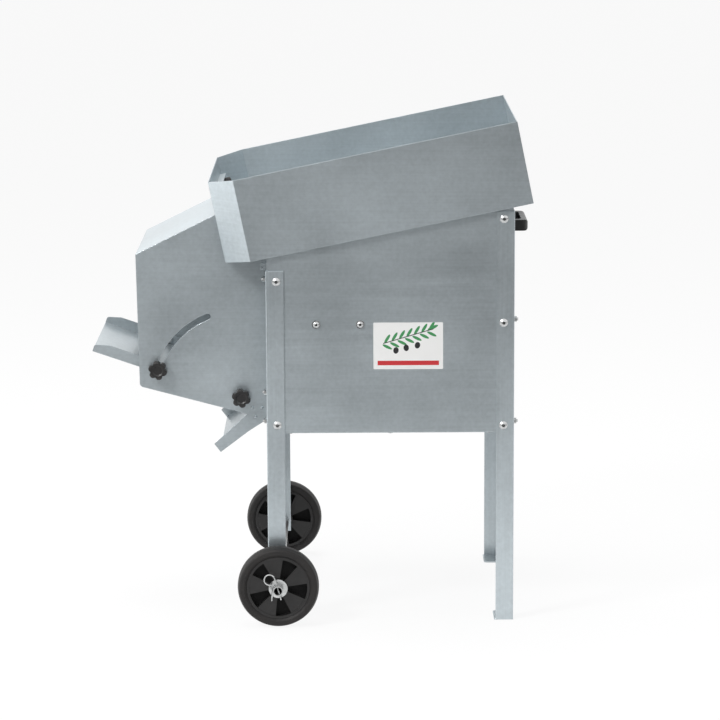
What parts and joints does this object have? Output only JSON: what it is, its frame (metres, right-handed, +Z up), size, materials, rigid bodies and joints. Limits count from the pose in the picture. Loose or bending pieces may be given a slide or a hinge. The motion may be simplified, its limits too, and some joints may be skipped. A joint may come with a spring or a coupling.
{
  "type": "olive defoliator",
  "caption": "Wheeled sheet-metal machine that blows leaves off olives: tilted hopper with gate, fan box, hood, swinging tray and outlet chute.",
  "frame": {"origin": "centre of the footprint's bounding box, on the floor under the tyres and feet", "axes": "+X towards the handle at the rear, -X towards the hood and tray, +Y across to the switch side, +Z up"},
  "size_m": [0.8684, 0.658, 0.992],
  "materials": {
    "zinc": "galvanised, soft sheen",
    "fastener": "bright zinc plate",
    "axle": "galvanised tube",
    "guard": "zinc plated",
    "motor": "grey enamel",
    "knob": "moulded, fine grain",
    "handle": "moulded, fine grain",
    "black_plastic": "moulded",
    "start": "glossy",
    "stop": "glossy",
    "rim": "moulded",
    "tyre": "solid rubber"
  },
  "bodies": {
    "machine": {"leg_front_near": "zinc", "leg_front_far": "zinc", "leg_rear_near": "zinc", "leg_rear_far": "zinc", "side_panel_near": "zinc", "side_panel_far": "zinc", "front_panel": "zinc", "rear_panel": "zinc", "bottom_panel": "zinc", "button_screws": "fastener", "large_nuts": "fastener", "panel_bolts": "fastener", "panel_nuts": "fastener", "sheet_screws": "fastener", "hopper_floor": "zinc", "hopper_side_near": "zinc", "hopper_side_far": "zinc", "hopper_end_panel": "zinc", "hopper_rear_wall": "zinc", "gate_studs": "fastener", "hood_side_near": "zinc", "hood_side_far": "zinc", "hood_top": "zinc", "outlet_chute": "zinc", "rivets": "fastener", "pivot_studs": "fastener", "pivot_spacers": "fastener", "motor_bracket": "zinc", "motor_body": "motor", "motor_cowl": "black_plastic", "motor_bearings": "fastener", "fan_ring": "zinc", "fan_guards": "guard", "guard_bars": "guard", "switch_box": "black_plastic", "cable_gland": "black_plastic", "bow_handle": "handle", "axle_tube": "axle", "wheel_spacers": "fastener", "axle_washers": "fastener", "r_clips": "fastener"},
    "fan_rotor": {"motor_shaft": "fastener", "fan_hub": "black_plastic", "fan_blades": "black_plastic"},
    "wheel_near": {"wheel_rim_near": "rim", "tyre_near": "tyre"},
    "wheel_far": {"wheel_rim_far": "rim", "tyre_far": "tyre"},
    "tray_body": {"tray": "zinc", "clamp_studs": "fastener", "clamp_spacers": "fastener"},
    "clamp_near": {"clamp_knob_near": "knob"},
    "clamp_far": {"clamp_knob_far": "knob"},
    "pivot_near": {"pivot_knob_near": "knob"},
    "pivot_far": {"pivot_knob_far": "knob"},
    "gate_body": {"gate": "zinc"},
    "gate_clamp_near": {"gate_knob_near": "knob"},
    "gate_clamp_far": {"gate_knob_far": "knob"},
    "start_push": {"start_button": "start"},
    "stop_push": {"stop_button": "stop"}
  },
  "joints": [
    {"name": "fan_spin", "type": "hinge", "parent": "machine", "child": "fan_rotor", "pos_m": [0.05369, 0, 0.54], "axis": [1, 0, 0], "continuous": true},
    {"name": "wheel_near_roll", "type": "hinge", "parent": "machine", "child": "wheel_near", "pos_m": [-0.06681, -0.287, 0.08], "axis": [0, 1, 0], "continuous": true},
    {"name": "wheel_far_roll", "type": "hinge", "parent": "machine", "child": "wheel_far", "pos_m": [-0.06681, 0.287, 0.08], "axis": [0, 1, 0], "continuous": true},
    {"name": "tray_swing", "type": "hinge", "parent": "machine", "child": "tray_body", "pos_m": [-0.13921, 0, 0.4376], "axis": [0, 1, 0], "range_deg": [0, 49]},
    {"name": "gate_slide", "type": "slide", "parent": "machine", "child": "gate_body", "axis": [-0.1994, 0, 0.9799], "range_m": [0, 0.045]},
    {"name": "clamp_near_turn", "type": "hinge", "parent": "tray_body", "child": "clamp_near", "pos_m": [-0.30363, -0.185, 0.49454], "axis": [0, 1, 0], "range_deg": [-360, 360]},
    {"name": "clamp_far_turn", "type": "hinge", "parent": "tray_body", "child": "clamp_far", "pos_m": [-0.30363, 0.185, 0.49454], "axis": [0, 1, 0], "range_deg": [-360, 360]},
    {"name": "pivot_near_turn", "type": "hinge", "parent": "machine", "child": "pivot_near", "pos_m": [-0.13921, -0.185, 0.4376], "axis": [0, 1, 0], "range_deg": [-360, 360]},
    {"name": "pivot_far_turn", "type": "hinge", "parent": "machine", "child": "pivot_far", "pos_m": [-0.13921, 0.185, 0.4376], "axis": [0, 1, 0], "range_deg": [-360, 360]},
    {"name": "gate_near_turn", "type": "hinge", "parent": "machine", "child": "gate_clamp_near", "pos_m": [-0.17672, -0.1, 0.82139], "axis": [0.9799, 0, 0.1994], "range_deg": [-360, 360]},
    {"name": "gate_far_turn", "type": "hinge", "parent": "machine", "child": "gate_clamp_far", "pos_m": [-0.17672, 0.1, 0.82139], "axis": [0.9799, 0, 0.1994], "range_deg": [-360, 360]},
    {"name": "start_press", "type": "slide", "parent": "machine", "child": "start_push", "axis": [0, -1, 0], "range_m": [0, 0.004], "stiffness_N_per_m": 800, "springref_m": -0.001},
    {"name": "stop_press", "type": "slide", "parent": "machine", "child": "stop_push", "axis": [0, -1, 0], "range_m": [0, 0.004], "stiffness_N_per_m": 800, "springref_m": -0.001}
  ]
}
